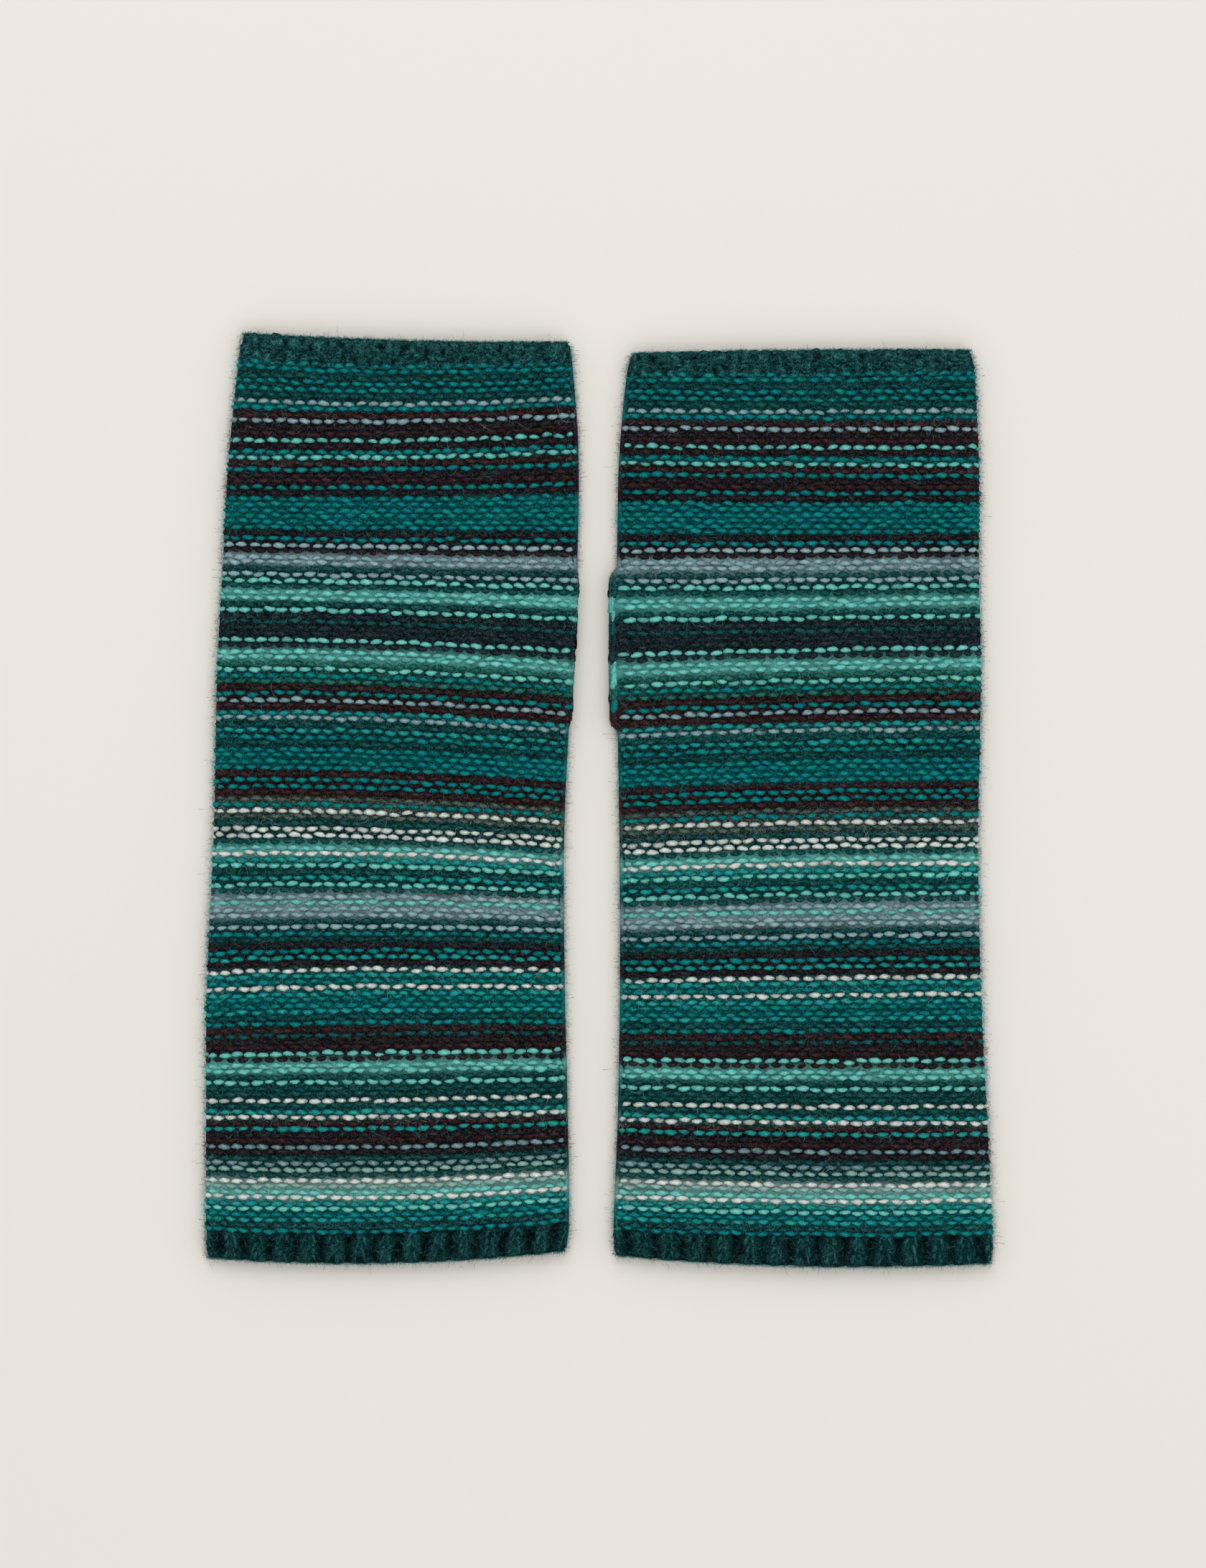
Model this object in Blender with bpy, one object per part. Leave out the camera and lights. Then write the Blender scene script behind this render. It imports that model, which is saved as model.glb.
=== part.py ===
"""A pair of fingerless mittens in striped wool, laid out flat side by side.

Each mitten is one knitted panel, purl side out, folded along its outer edge, so that an upper and a
lower layer lie on each other. The panel's two long edges meet along the thumb side, and stay apart
over the thumb slit. A ribbed welt ends it at the wrist and a plain band at the fingers.

+X is across the pair, +Y from the wrists to the fingers, and +Z up from the surface that it lies on.
The origin is at the middle of the pair, on that surface. Sizes are in millimetres down to the mesh.
"""

import math

import bmesh
import bpy

MM = 0.001  # metres in a millimetre

# The cloth
WALL = 2.6  # thickness of the knitted wool
LAYER_GAP = 0.4  # between the upper and the lower layer where they lie on each other
SEAM_GAP = 0.3  # between two pieces, or the two edges of a panel, where they are joined
CROWN = 0.8  # how much higher the upper layer stands in its middle than at its edges
FLAT = 2 * WALL + LAYER_GAP  # thickness of a mitten at its edges
BEND = FLAT / 2  # outer radius of the fold

# Courses, which are the knitted rows, counted from the first striped one above the rib
WRIST_EDGE = -2.1
RIB_TOP = 0.3
BAND_FOOT = 73.0
FINGER_EDGE = 75.6
PANEL_STEP = 2.6  # courses between two modelled sections of a panel
LEAST_STEP = 0.9  # courses that two of them have between them at least, but for the slit's ends

# The thumb slit
SLIT_FOOT = 42.9
SLIT_TOP = 56.7
SLIT_END = 0.9  # courses over which the seam opens into the slit
LIP_DROP = 0.35  # how much the slit's edges thin towards their rim

# The wrist rib
RIBS = 15  # ribs that show across the upper layer
RIB_HEIGHT = 0.55
POINTS_PER_RIB = 4
RIB_FADE = 0.05  # share of the width over which the ribs run out at each side

# Free edges, at the wrist and at the fingers
RIM_DEPTHS = (0.0, 0.6, 1.5)  # how far in from the edge the sections of its rounding are
RIM_THIN = 0.42  # share of the wall that is gone at the very edge
CORNER_INSET = 1.3  # how much narrower a mitten is at its very edge, for its soft corners
CORNER_START = 40  # distance from a mitten's middle line at which its corners start to draw in
CORNER_RUN = 12  # distance over which they do so in full

# Sections of each mitten, from wrist to fingers. x_left and x_right are its two sides, and y_left,
# y_middle and y_right are how far up its courses lie there, because the rows sag and tilt.
SECTION_COLUMNS = ("course", "x_left", "x_right", "y_left", "y_middle", "y_right")
LEFT_SECTIONS = (
    (-2.1, -112.6, -9.3, -131.2, -132.8, -129.3),
    (0.3, -112.8, -8.5, -123.0, -123.8, -120.7),
    (11, -112.8, -8.9, -90.2, -90.0, -88.7),
    (22, -112.6, -9.7, -53.9, -52.7, -53.1),
    (35, -110.6, -9.9, -8.0, -8.4, -11.1),
    (48, -109.6, -7.9, 37.7, 36.9, 33.8),
    (57, -108.0, -6.2, 68.2, 67.2, 66.4),
    (66, -106.3, -5.8, 98.4, 98.2, 100.0),
    (73, -103.6, -7.5, 124.8, 122.7, 124.0),
    (75.6, -102.4, -8.3, 133.5, 131.4, 130.9),
)
RIGHT_SECTIONS = (
    (-2.1, 4.4, 112.5, -130.6, -133.7, -132.9),
    (0.3, 4.0, 112.8, -123.0, -124.6, -124.2),
    (11, 5.2, 111.4, -91.0, -92.0, -92.0),
    (22, 5.8, 109.6, -55.9, -55.3, -54.7),
    (35, 5.7, 108.8, -12.5, -10.9, -10.5),
    (48, 5.0, 109.6, 33.2, 34.6, 35.5),
    (57, 5.0, 109.0, 66.4, 66.4, 67.0),
    (66, 5.6, 109.0, 97.3, 96.7, 96.7),
    (73, 7.7, 107.8, 120.9, 120.7, 121.5),
    (75.6, 9.1, 106.8, 127.7, 128.6, 128.6),
)

# Soft swells where the upper layer doesn't lie quite flat. across and wide are shares of the width,
# counted from the left side.
SWELL_COLUMNS = ("course", "across", "courses_long", "wide", "height")
LEFT_SWELLS = (
    (8, 0.62, 7, 0.32, 0.5),
    (27, 0.30, 9, 0.29, 0.6),
    (46, 0.66, 8, 0.25, 0.7),
    (66, 0.42, 6, 0.34, 0.6),
)
RIGHT_SWELLS = (
    (10, 0.40, 8, 0.34, 0.6),
    (31, 0.70, 9, 0.27, 0.5),
    (49, 0.26, 8, 0.23, 0.7),
    (67, 0.55, 6, 0.32, 0.5),
)

# thumb is the side that the slit is on, 1 to the right and -1 to the left. slit_lip is how far the
# slit's edges stand out past the seam.
MITTENS = (
    {"side": "left", "thumb": 1, "slit_lip": 1.3, "sections": LEFT_SECTIONS, "swells": LEFT_SWELLS},
    {"side": "right", "thumb": -1, "slit_lip": 2.4, "sections": RIGHT_SECTIONS, "swells": RIGHT_SWELLS},
)

# Points round a section, in its five stretches from the lower thumb-side edge to the upper one
END_POINTS = 3
LOWER_POINTS = 4
FOLD_POINTS = 7
UPPER_POINTS = 15
SMOOTH_ANGLE = 50  # edges sharper than this many degrees stay sharp

STRIPED_COLOUR = (0.02, 0.17, 0.16)
RIB_COLOUR = (0.006, 0.06, 0.06)
BAND_COLOUR = (0.006, 0.065, 0.065)


def clear_scene():
    for old in list(bpy.data.objects):
        bpy.data.objects.remove(old, do_unlink=True)


def wool(name, colour):
    """A dull woollen finish in one colour."""
    material = bpy.data.materials.new(name)
    material.use_nodes = True
    shader = material.node_tree.nodes["Principled BSDF"]
    shader.inputs["Base Color"].default_value = (*colour, 1.0)
    shader.inputs["Roughness"].default_value = 0.95
    shader.inputs["Metallic"].default_value = 0.0
    return material


def ease(value):
    """0 to 1 with soft ends."""
    value = min(max(value, 0.0), 1.0)
    return value * value * (3 - 2 * value)


def section_at(mitten, course):
    """The section table's columns by name, read at any course from a smooth curve through its rows."""
    rows = mitten["sections"]
    last = len(rows) - 1
    index = next((i for i in range(last) if course <= rows[i + 1][0]), last - 1)
    before, start, end, after = (rows[min(max(index + k, 0), last)] for k in (-1, 0, 1, 2))
    span = end[0] - start[0]
    part = (course - start[0]) / span
    section = {}
    for column, name in enumerate(SECTION_COLUMNS[1:], start=1):
        start_slope = (end[column] - before[column]) / (end[0] - before[0])
        end_slope = (after[column] - start[column]) / (after[0] - start[0])
        rise = end[column] - start[column]
        a = start_slope * span - rise
        b = rise - end_slope * span
        bow = part * (1 - part) * (a * (1 - part) + b * part)
        section[name] = start[column] + rise * part + bow
    return section


def course_height(section, across):
    """How far up a course lies at a share of the width, on a soft arc through its three heights."""
    across = min(max(across, 0.0), 1.0)
    tilt = section["y_right"] - section["y_left"]
    sag = section["y_middle"] - section["y_left"] - tilt / 2
    return section["y_left"] + tilt * across + sag * 4 * across * (1 - across)


def upper_rise(mitten, course, across):
    """How much higher the upper layer stands than at its edges."""
    rise = CROWN
    for row in mitten["swells"]:
        swell = dict(zip(SWELL_COLUMNS, row))
        along = (course - swell["course"]) / swell["courses_long"]
        aside = (across - swell["across"]) / swell["wide"]
        rise += swell["height"] * math.exp(-2 * (along * along + aside * aside))
    return rise * (1 - (2 * across - 1) ** 4)


def slit_share(course):
    """0 where the thumb side is sewn up, 1 where it is the open slit."""
    opening = ease((course - SLIT_FOOT + SLIT_END / 2) / SLIT_END)
    closing = ease((SLIT_TOP - course + SLIT_END / 2) / SLIT_END)
    return opening * closing


def thumb_end(mitten, course, width, side):
    """The stretch that ends a layer at the thumb side, sewn or open: side is 1 above and -1 below.

    Each point, at mid wall, is its place across, its height, its outward direction and its relief."""
    open_share = slit_share(course)
    radius = BEND - WALL / 2 - SEAM_GAP / 2
    centre = FLAT / 2 + side * SEAM_GAP / 2
    points = []
    for step in range(1, END_POINTS + 1):
        share = step / END_POINTS
        turn = share * math.pi / 2
        sewn = (width - BEND + radius * math.sin(turn), centre + side * radius * math.cos(turn))
        lip = (width - BEND + share * (BEND + mitten["slit_lip"]), FLAT / 2 + side * (BEND - WALL / 2))
        lean = math.sin(turn) * (1 - open_share)
        place = [a + (b - a) * open_share for a, b in zip(sewn, lip)]
        thin = LIP_DROP * open_share if step == END_POINTS else 0.0
        points.append((*place, lean, side * math.sqrt(1 - lean * lean), -thin))
    return points


def section_points(mitten, course, upper_points, relief):
    """Outer and inner points of one section, from the lower thumb-side edge round to the upper."""
    section = section_at(mitten, course)
    x_left, x_right = section["x_left"], section["x_right"]
    width = x_right - x_left
    run = width - 2 * BEND
    path = list(reversed(thumb_end(mitten, course, width, -1)))
    for step in range(LOWER_POINTS):
        path.append((width - BEND - run * step / (LOWER_POINTS - 1), WALL / 2, 0.0, -1.0, 0.0))
    for step in range(1, FOLD_POINTS):
        turn = math.pi * step / FOLD_POINTS
        out, up = -math.sin(turn), -math.cos(turn)
        radius = BEND - WALL / 2
        path.append((BEND + radius * out, BEND + radius * up, out, up, 0.0))
    for step in range(upper_points):
        share = step / (upper_points - 1)
        across = share if mitten["thumb"] > 0 else 1 - share
        height = FLAT - WALL / 2 + upper_rise(mitten, course, across)
        path.append((BEND + run * share, height, 0.0, 1.0, relief(share)))
    path += thumb_end(mitten, course, width, 1)

    outer, inner = [], []
    for from_fold, height, lean, up, raised in path:
        for points, offset in ((outer, WALL / 2 + raised), (inner, -WALL / 2)):
            place = from_fold + lean * offset
            x = x_left + place if mitten["thumb"] > 0 else x_right - place
            y = course_height(section, (x - x_left) / width)
            points.append([x, y, height + up * offset])
    for i in range(END_POINTS):  # where the seam opens, each layer's inside stays on its own side
        inner[i][2] = min(inner[i][2], (FLAT - SEAM_GAP) / 2)
        inner[-1 - i][2] = max(inner[-1 - i][2], (FLAT + SEAM_GAP) / 2)
    return outer, inner


def shell(name, sections, material, collection):
    """A closed wall between the outer and inner points of a row of sections."""
    mesh = bmesh.new()
    outer = [[mesh.verts.new([v * MM for v in point]) for point in section[0]] for section in sections]
    inner = [[mesh.verts.new([v * MM for v in point]) for point in section[1]] for section in sections]
    rows, columns = len(outer), len(outer[0])
    for r in range(rows - 1):
        for c in range(columns - 1):
            mesh.faces.new((outer[r][c], outer[r][c + 1], outer[r + 1][c + 1], outer[r + 1][c]))
            mesh.faces.new((inner[r][c], inner[r + 1][c], inner[r + 1][c + 1], inner[r][c + 1]))
    for c in range(columns - 1):
        mesh.faces.new((outer[0][c], inner[0][c], inner[0][c + 1], outer[0][c + 1]))
        mesh.faces.new((outer[-1][c], outer[-1][c + 1], inner[-1][c + 1], inner[-1][c]))
    for r in range(rows - 1):
        mesh.faces.new((outer[r][0], outer[r + 1][0], inner[r + 1][0], inner[r][0]))
        mesh.faces.new((outer[r][-1], inner[r][-1], inner[r + 1][-1], outer[r + 1][-1]))
    bmesh.ops.recalc_face_normals(mesh, faces=mesh.faces)
    data = bpy.data.meshes.new(name)
    mesh.to_mesh(data)
    mesh.free()
    data.shade_smooth()
    data.set_sharp_from_angle(angle=math.radians(SMOOTH_ANGLE))
    data.materials.append(material)
    piece = bpy.data.objects.new(name, data)
    collection.objects.link(piece)
    return piece


def plain(share):
    return 0.0


def ribbed(share):
    """The rib's height at a share of the way across the upper layer, down to nothing at the sides."""
    full = ease(min(share, 1 - share) / RIB_FADE)
    return RIB_HEIGHT * full * (1 - math.cos(2 * math.pi * RIBS * share)) / 2


def shift_along(points, distance):
    return [[x, y + distance, z] for x, y, z in points]


def corner_share(x, middle_x):
    """1 at a mitten's sides and 0 over its middle, so that only its corners draw in."""
    return ease((abs(x - middle_x) - CORNER_START) / CORNER_RUN)


def free_edge(section, middle_x, towards, depth):
    """A section moved in from a free edge, thinner and narrower the nearer it is to the rim."""
    near = (1 - depth / RIM_DEPTHS[-1]) ** 2
    moved = []
    for points, others in (section, reversed(section)):
        layer = []
        for (x, y, z), other in zip(points, others):
            pull = WALL * RIM_THIN * near / 2 / math.dist((x, z), other[::2])
            inset = math.copysign(CORNER_INSET * near, x - middle_x) * corner_share(x, middle_x)
            edge_x, edge_z = x + (other[0] - x) * pull - inset, z + (other[2] - z) * pull
            layer.append([edge_x, y - towards * depth, edge_z])
        moved.append(layer)
    return moved


def edge_band(mitten, name, edge_course, joined_course, upper_points, relief, material, collection):
    """A rib or band from a free edge, softly rounded, to where the panel's courses start."""
    towards = 1 if edge_course > joined_course else -1
    section = section_at(mitten, edge_course)
    middle_x = (section["x_left"] + section["x_right"]) / 2
    rim = section_points(mitten, edge_course, upper_points, relief)
    sections = [free_edge(rim, middle_x, towards, depth) for depth in RIM_DEPTHS]
    sections.append(section_points(mitten, (edge_course + joined_course) / 2, upper_points, relief))
    joined = section_points(mitten, joined_course, upper_points, relief)
    sections.append([shift_along(points, towards * SEAM_GAP / 2) for points in joined])
    if towards > 0:
        sections.reverse()
    return shell(f"{mitten['side']}_{name}", sections, material, collection)


def panel_courses():
    """The courses that a panel has a section at: evenly spaced, and closer at the slit's ends."""
    steps = round((BAND_FOOT - RIB_TOP) / PANEL_STEP)
    even = [RIB_TOP + (BAND_FOOT - RIB_TOP) * i / steps for i in range(steps + 1)]
    ends = [end + SLIT_END * k for end in (SLIT_FOOT, SLIT_TOP) for k in (-0.5, 0, 0.5)]
    clear = [course for course in even if min(abs(course - end) for end in ends) > LEAST_STEP]
    return sorted(clear + ends)


def hand_panel(mitten, material, collection):
    """The striped panel, folded round, its long edges meeting at the thumb side but for the slit."""
    sections = [section_points(mitten, course, UPPER_POINTS, plain) for course in panel_courses()]
    sections[0] = [shift_along(points, SEAM_GAP / 2) for points in sections[0]]
    sections[-1] = [shift_along(points, -SEAM_GAP / 2) for points in sections[-1]]
    return shell(f"{mitten['side']}_hand_panel", sections, material, collection)


def build():
    clear_scene()
    collection = bpy.data.collections.new("fingerless_mittens")
    bpy.context.scene.collection.children.link(collection)
    rib_points = RIBS * POINTS_PER_RIB + 1
    for mitten in MITTENS:
        side = mitten["side"]
        striped = wool(f"{side}_striped_wool", STRIPED_COLOUR)
        rib_wool = wool(f"{side}_green_rib_wool", RIB_COLOUR)
        band_wool = wool(f"{side}_green_band_wool", BAND_COLOUR)
        hand_panel(mitten, striped, collection)
        edge_band(mitten, "wrist_rib", WRIST_EDGE, RIB_TOP, rib_points, ribbed, rib_wool, collection)
        edge_band(
            mitten, "finger_band", FINGER_EDGE, BAND_FOOT, UPPER_POINTS, plain, band_wool, collection
        )


build()
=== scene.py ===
import math

import bmesh
import bpy
import numpy as np
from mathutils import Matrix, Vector


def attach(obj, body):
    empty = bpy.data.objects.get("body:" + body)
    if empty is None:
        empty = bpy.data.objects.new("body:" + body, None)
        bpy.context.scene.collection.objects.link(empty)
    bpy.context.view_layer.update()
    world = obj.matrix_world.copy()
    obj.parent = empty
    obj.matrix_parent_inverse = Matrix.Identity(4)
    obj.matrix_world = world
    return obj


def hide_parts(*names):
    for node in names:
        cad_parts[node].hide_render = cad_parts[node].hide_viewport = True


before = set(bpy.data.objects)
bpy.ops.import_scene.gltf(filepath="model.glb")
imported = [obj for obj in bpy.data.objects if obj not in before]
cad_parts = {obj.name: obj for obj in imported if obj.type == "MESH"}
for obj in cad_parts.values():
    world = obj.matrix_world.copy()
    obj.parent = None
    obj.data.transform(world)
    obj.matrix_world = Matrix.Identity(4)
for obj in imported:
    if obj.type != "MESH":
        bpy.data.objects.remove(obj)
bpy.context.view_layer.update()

mm = 0.001  # metres in a millimetre

# The knitted cloth, in millimetres. Courses are its rows, counted up from the rib, wales its columns,
# counted round from the middle of the fold, up over the upper layer, to the seam at the thumb side.
cloth = {
    "wall": 2.6,  # thickness of the wool
    "flat": 5.6,  # thickness of a mitten at its edges
    "crown": 0.8,  # how much higher the upper layer stands in its middle
    "lowest": 0.03,  # what would lie lower is pressed flat
    "walesAcross": 29,
    "wristEdge": -2.1,  # places on the cloth, in courses
    "ribTop": 0.3,
    "bandFoot": 73.0,
    "fingerEdge": 75.6,
    "slitFoot": 44.5,
    "slitTop": 56.7,
    "slitEnd": 0.9,  # courses in which the slit opens out
    "courses": 72,
    "pitch": 3.4,  # millimetres a course
    "walePitch": 3.6,  # and a wale
    "drawnAtFold": 0.05,  # how much deeper stitches lie round the fold
    "drawnAtSeam": 0.6,  # and where the seam pulls
    "sideLevel": 1.6,  # what is special at a side is full up to 0.6 of the fade from it
    "sideFade": 1.2,  # wales
}

# course, then x of the left and the right side, then y of the course at the left, middle and right
leftSections = (
    (-2.1, -112.6, -9.3, -131.2, -132.8, -129.3),
    (0.3, -112.8, -8.5, -123.0, -123.8, -120.7),
    (11, -112.8, -8.9, -90.2, -90.0, -88.7),
    (22, -112.6, -9.7, -53.9, -52.7, -53.1),
    (35, -110.6, -9.9, -8.0, -8.4, -11.1),
    (48, -109.6, -7.9, 37.7, 36.9, 33.8),
    (57, -108.0, -6.2, 68.2, 67.2, 66.4),
    (66, -106.3, -5.8, 98.4, 98.2, 100.0),
    (73, -103.6, -7.5, 124.8, 122.7, 124.0),
    (75.6, -102.4, -8.3, 133.5, 131.4, 130.9),
)
rightSections = (
    (-2.1, 4.4, 112.5, -130.6, -133.7, -132.9),
    (0.3, 4.0, 112.8, -123.0, -124.6, -124.2),
    (11, 5.2, 111.4, -91.0, -92.0, -92.0),
    (22, 5.8, 109.6, -55.9, -55.3, -54.7),
    (35, 5.7, 108.8, -12.5, -10.9, -10.5),
    (48, 5.0, 109.6, 33.2, 34.6, 35.5),
    (57, 5.0, 109.0, 66.4, 66.4, 67.0),
    (66, 5.6, 109.0, 97.3, 96.7, 96.7),
    (73, 7.7, 107.8, 120.9, 120.7, 121.5),
    (75.6, 9.1, 106.8, 127.7, 128.6, 128.6),
)

# course, share of the way across, courses long, share wide, height of the swell
leftSwells = (
    (8, 0.62, 7, 0.32, 0.5),
    (27, 0.30, 9, 0.29, 0.6),
    (46, 0.66, 8, 0.25, 0.7),
    (66, 0.42, 6, 0.34, 0.6),
)
rightSwells = (
    (10, 0.40, 8, 0.34, 0.6),
    (31, 0.70, 9, 0.27, 0.5),
    (49, 0.26, 8, 0.23, 0.7),
    (67, 0.55, 6, 0.32, 0.5),
)

# course of the knitting, then how many courses lower on the cloth its row lies, left and right
rowDrops = (
    (0, 0.50, 0.52),
    (3, 0.50, 0.52),
    (8, 0.28, 0.20),
    (11, 0.13, 0.07),
    (22, 0.17, 0.20),
    (31, 0.12, 0.17),
    (42, 0.12, 0.26),
    (52, 0.08, 0.18),
    (60, 0.00, 0.05),
    (65, 0.12, 0.27),
    (70, 0.27, 0.42),
    (75, 0.15, 0.20),
)

# thumb: 1 with the thumb side on the right, -1 on the left; lip: millimetres that the slit stands out
mittens = (
    dict(side="left", thumb=1, lip=0.6, sections=leftSections, swells=leftSwells, seed=11),
    dict(side="right", thumb=-1, lip=2.4, sections=rightSections, swells=rightSwells, seed=23),
)

# Each yarn's colour and that of the light and the dark fibres carded into it, as screen values
yarns = {
    "bottle": ((2, 62, 68), (70, 150, 148), (0, 13, 17)),
    "darkGreen": ((4, 74, 78), (52, 132, 128), (0, 22, 28)),
    "teal": ((0, 132, 138), (34, 178, 176), (0, 60, 68)),
    "brightTeal": ((0, 158, 158), (70, 204, 196), (0, 84, 88)),
    "mint": ((107, 218, 207), (152, 232, 222), (24, 156, 148)),
    "paleSlate": ((140, 192, 184), (192, 218, 208), (94, 152, 148)),
    "slate": ((138, 184, 192), (196, 216, 220), (58, 122, 130)),
    "dimSlate": ((110, 158, 164), (172, 200, 204), (28, 72, 82)),
    "cream": ((236, 246, 236), (246, 252, 248), (168, 190, 180)),
    "heather": ((52, 84, 78), (142, 160, 144), (8, 30, 36)),
    "aubergine": ((26, 21, 29), (82, 76, 80), (4, 4, 8)),
    "redBrown": ((50, 32, 37), (98, 70, 68), (8, 6, 11)),
    "navy": ((14, 32, 42), (72, 96, 102), (0, 8, 16)),
    "green": ((8, 106, 94), (76, 158, 142), (0, 50, 50)),
}
feltedYarns = ("bottle", "darkGreen", "heather", "aubergine", "redBrown", "navy")  # felted most
paleYarns = ("mint", "paleSlate", "slate", "cream")

# The stripes, one yarn for each course from the rib up; the last one is the join to the band
stripes = (
    "teal brightTeal mint cream paleSlate darkGreen dimSlate aubergine redBrown brightTeal cream "
    "darkGreen darkGreen mint mint aubergine redBrown darkGreen teal brightTeal teal cream "
    "brightTeal aubergine teal darkGreen slate slate mint darkGreen brightTeal mint cream "
    "darkGreen cream heather teal redBrown teal teal teal darkGreen brightTeal slate redBrown "
    "teal green mint mint navy navy darkGreen mint mint darkGreen slate slate aubergine teal teal "
    "teal teal aubergine redBrown teal mint aubergine redBrown slate teal darkGreen teal teal"
).split()


def linear(colour):  # screen values to the light values that Blender mixes
    return np.where(colour <= 0.04045, colour / 12.92, ((colour + 0.055) / 1.055) ** 2.4)


yarnNames = list(yarns)
yarnTones = linear(np.array([yarns[name] for name in yarnNames], float) / 255)  # yarn, tone, channel
courseYarn = np.array([yarnNames.index(name) for name in stripes])
paleNumbers = [yarnNames.index(name) for name in paleYarns]
feltedNumbers = [yarnNames.index(name) for name in feltedYarns]
bottleNumber = yarnNames.index("bottle")  # the wool of the ribs, the bands and the seams


def yarnOf(course):  # the yarn of a course, bottle green past the striped ones
    course = np.asarray(course).astype(int)
    inside = (course >= 1) & (course <= len(stripes))
    return np.where(inside, courseYarn[np.clip(course, 1, len(stripes)) - 1], bottleNumber)


# Shape of the cloth

def dice(mitten, number):  # a mitten's own random numbers, another row of them for each piece
    return np.random.default_rng(mitten["seed"] + number)


def rowPlace(mitten, row):  # where on the cloth a row of the knitting lies, in courses
    table = np.array(rowDrops)
    return row - np.interp(row, table[:, 0], table[:, 1 if mitten["side"] == "left" else 2])


def ease(value):
    value = np.clip(value, 0, 1)
    return value * value * (3 - 2 * value)


def sectionAt(mitten, course):  # the table's columns at any course, on a smooth curve
    rows = np.array(mitten["sections"], float)
    last = len(rows) - 1
    index = np.clip(np.searchsorted(rows[1:, 0], course, side="left"), 0, last - 1)
    before, start = rows[np.maximum(index - 1, 0)], rows[index]
    end, after = rows[index + 1], rows[np.minimum(index + 2, last)]
    span = end[..., :1] - start[..., :1]
    part = (course[..., None] - start[..., :1]) / span
    startSlope = (end - before) / (end[..., :1] - before[..., :1])
    endSlope = (after - start) / (after[..., :1] - start[..., :1])
    rise = end - start
    bend = (startSlope * span - rise) * (1 - part) + (rise - endSlope * span) * part
    return (start + rise * part + part * (1 - part) * bend)[..., 1:]


def slitShare(course):  # 0 where the thumb side is sewn up, 1 where it is the open slit
    opening = ease((course - cloth["slitFoot"]) / cloth["slitEnd"] + 0.5)
    closing = ease((cloth["slitTop"] - course) / cloth["slitEnd"] + 0.5)
    return opening * closing


def upperRise(mitten, course, across):
    rise = cloth["crown"]
    for middle, place, long, wide, height in mitten["swells"]:
        away = ((course - middle) / long) ** 2 + ((across - place) / wide) ** 2
        rise = rise + height * np.exp(-2 * away)
    return rise * (1 - (2 * across - 1) ** 4)


def clothPoint(mitten, course, wale, depth):  # a point under the cloth's outer face, in millimetres
    course, wale, depth = np.broadcast_arrays(*(np.asarray(v, float) for v in (course, wale, depth)))
    xLeft, xRight, yLeft, yMiddle, yRight = np.moveaxis(sectionAt(mitten, course), -1, 0)
    width = xRight - xLeft
    bend = cloth["flat"] / 2
    quarter = math.pi * bend / 2
    length = width - 2 * bend + 2 * quarter
    place = wale / cloth["walesAcross"] * length
    above = (place >= 0) & (place <= length)
    place = np.where(place > length, 2 * length - place, np.abs(place))

    foldTurn = np.clip(place / bend, 0, math.pi / 2)
    thumbTurn = np.clip((place - length + quarter) / bend, 0, math.pi / 2)
    radius = bend - depth
    flatAcross = np.clip(place, quarter, length - quarter) - quarter
    atFold, atThumb = place < quarter, place > length - quarter
    across = np.where(atFold, bend - radius * np.cos(foldTurn), bend + flatAcross)
    height = np.where(atFold, radius * np.sin(foldTurn), radius)
    share = np.clip(flatAcross / (width - 2 * bend), 0, 1)
    share = share if mitten["thumb"] > 0 else 1 - share
    height = height + np.where(above & ~atFold & ~atThumb, upperRise(mitten, course, share), 0)

    openShare = slitShare(course)  # towards the lip of the slit, or round to the seam
    lipAcross = width - bend + thumbTurn / (math.pi / 2) * (bend + mitten["lip"])
    sewnAcross = width - bend + radius * np.sin(thumbTurn)
    sewnHeight = radius * np.cos(thumbTurn)
    across = np.where(atThumb, sewnAcross + (lipAcross - sewnAcross) * openShare, across)
    height = np.where(atThumb, sewnHeight + (radius - sewnHeight) * openShare, height)

    x = xLeft + across if mitten["thumb"] > 0 else xRight - across
    z = bend + np.where(above, height, -height)
    share = np.clip((x - xLeft) / width, 0, 1)
    tilt = yRight - yLeft
    y = yLeft + tilt * share + (yMiddle - yLeft - tilt / 2) * 4 * share * (1 - share)
    return np.stack([x, y, z], axis=-1)


def clothNormal(mitten, course, wale):  # which way is out of the cloth
    outer, inner = (clothPoint(mitten, course, wale, depth) for depth in (0.0, 0.5))
    away = outer - inner
    return away / np.maximum(np.linalg.norm(away, axis=-1, keepdims=True), 1e-9)


# Making pieces

def paintPoints(mesh, tones):
    for layer, values in tones.items():
        attribute = mesh.attributes.new(layer, "FLOAT_COLOR", "POINT")
        colours = np.c_[values, np.ones(len(values))]
        attribute.data.foreach_set("color", colours.astype(np.float32).ravel())


def placed(name, mesh):
    mesh.shade_smooth()
    piece = bpy.data.objects.new(name, mesh)
    bpy.context.scene.collection.objects.link(piece)
    return piece


def faceOutwards(mesh, close=False):  # close also joins the ends of a wall that was laid out
    form = bmesh.new()
    form.from_mesh(mesh)
    if close:
        bmesh.ops.remove_doubles(form, verts=form.verts, dist=endWall["join"] * mm)
        bmesh.ops.bridge_loops(form, edges=[e for e in form.edges if e.is_boundary])
    bmesh.ops.recalc_face_normals(form, faces=form.faces)
    form.to_mesh(mesh)
    form.free()


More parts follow.
